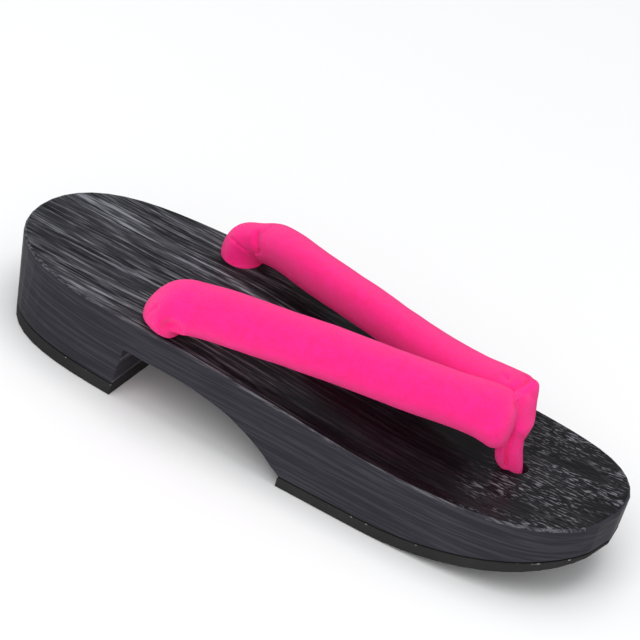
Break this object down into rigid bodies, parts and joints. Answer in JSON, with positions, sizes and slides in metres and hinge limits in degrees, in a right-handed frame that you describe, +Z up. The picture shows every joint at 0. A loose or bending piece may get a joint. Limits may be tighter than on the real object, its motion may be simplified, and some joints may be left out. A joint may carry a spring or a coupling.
{
  "type": "geta sandal",
  "caption": "One-piece wooden geta sandal in black lacquer with rubber treads under heel and forefoot, a padded cloth thong strap and a front loop.",
  "frame": {"origin": "on the floor, under the middle of the base", "axes": "+X to the toe, +Y to one side, +Z up"},
  "size_m": [0.2398, 0.0888, 0.0576],
  "materials": {
    "lacquered_wood": "semi-gloss black lacquer over brushed grain",
    "tread_rubber": "matt",
    "pink_cloth": "fine plain weave over soft padding"
  },
  "bodies": {
    "root": {"wood_base": "lacquered_wood", "heel_tread": "tread_rubber", "front_tread": "tread_rubber", "cloth_strap": "pink_cloth", "front_loop": "pink_cloth"}
  },
  "joints": []
}
